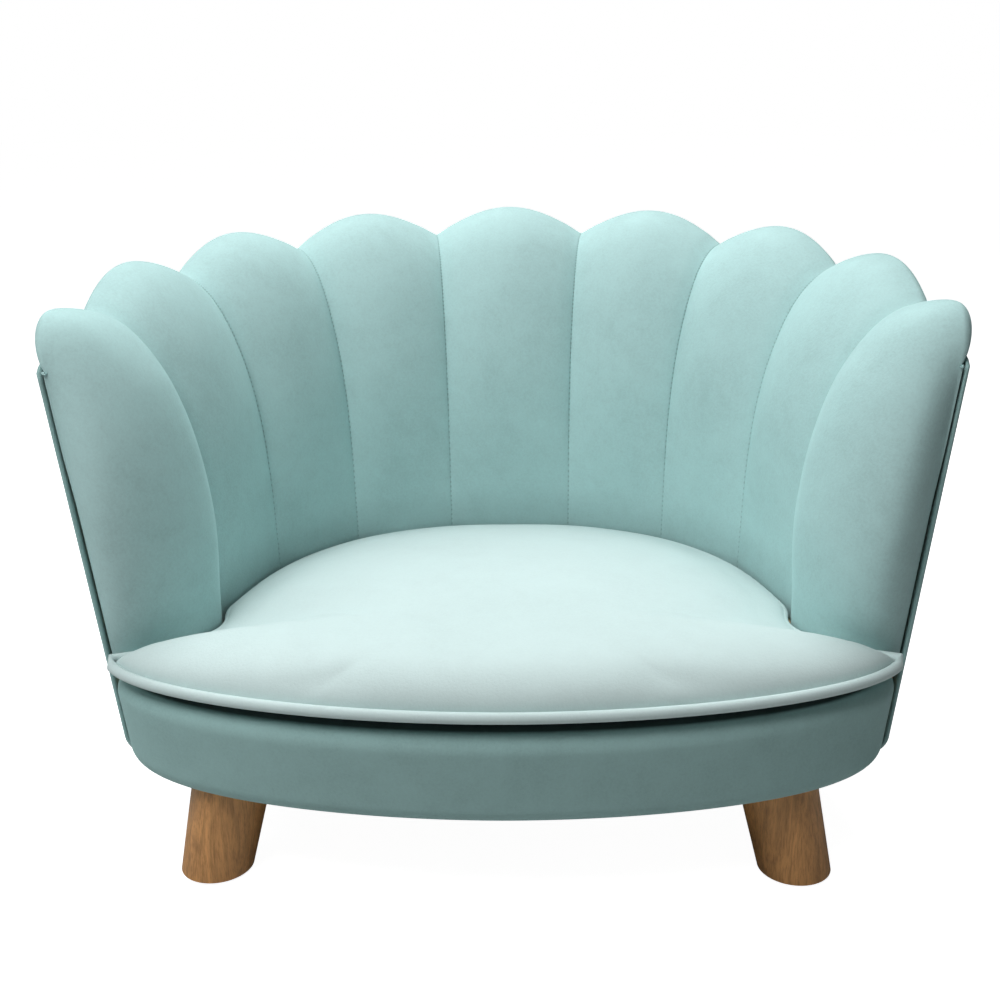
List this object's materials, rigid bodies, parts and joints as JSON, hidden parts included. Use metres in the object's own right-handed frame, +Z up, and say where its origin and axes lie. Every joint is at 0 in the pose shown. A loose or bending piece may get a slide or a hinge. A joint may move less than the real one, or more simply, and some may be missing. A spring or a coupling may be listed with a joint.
{
  "type": "dog sofa bed",
  "caption": "Small velvet pet sofa with a flared, scalloped back of padded petals, a loose piped seat cushion and short splayed wooden legs.",
  "frame": {"origin": "on the floor, under the middle of the whole outline", "axes": "+Z up, the front of the seat faces -Y, +X to the right as seen from the front"},
  "size_m": [0.6126, 0.4894, 0.4215],
  "materials": {
    "velvet_back": "soft pale aqua velvet",
    "velvet_seat": "soft very pale aqua velvet",
    "velvet_base": "soft grey-aqua velvet",
    "foam": "open upholstery foam",
    "plywood": "raw plywood",
    "pine": "raw pine",
    "leg_wood": "oiled brown wood",
    "zinc_steel": "zinc-plated steel",
    "felt": "dark felt",
    "black_cloth": "thin black lining cloth",
    "zip_plastic": "dark coiled plastic"
  },
  "bodies": {
    "sofa": {"deck_board": "plywood", "bottom_board": "plywood", "front_rail": "plywood", "back_rail": "plywood", "cross_battens": "pine", "back_panel": "plywood", "band_foam": "foam", "band_cover": "velvet_base", "outer_cover": "velvet_base", "deck_cloth": "black_cloth", "dust_cover": "black_cloth", "petal_foam_1": "foam", "petal_foam_2": "foam", "petal_foam_3": "foam", "petal_foam_4": "foam", "petal_foam_5": "foam", "petal_foam_6": "foam", "petal_foam_7": "foam", "petal_foam_8": "foam", "petal_foam_9": "foam", "petal_cover": "velvet_back", "front_left_leg": "leg_wood", "front_right_leg": "leg_wood", "rear_left_leg": "leg_wood", "rear_right_leg": "leg_wood", "leg_bolts": "zinc_steel", "tee_nuts": "zinc_steel", "foot_pads": "felt", "panel_screws": "zinc_steel", "deck_screws": "zinc_steel"},
    "cushion": {"cushion_case": "velvet_seat", "cushion_foam": "foam", "cushion_welt": "velvet_seat", "zip_tapes": "black_cloth", "zip_coil": "zip_plastic", "zip_stops": "zinc_steel"},
    "zip_slider": {"zip_slider": "zinc_steel"}
  },
  "joints": [
    {"name": "cushion_lift", "type": "slide", "parent": "sofa", "child": "cushion", "axis": [0, 0, 1], "range_m": [0, 0.3]},
    {"name": "zip_slide", "type": "slide", "parent": "cushion", "child": "zip_slider", "axis": [1, 0, 0], "range_m": [0, 0.281]}
  ]
}
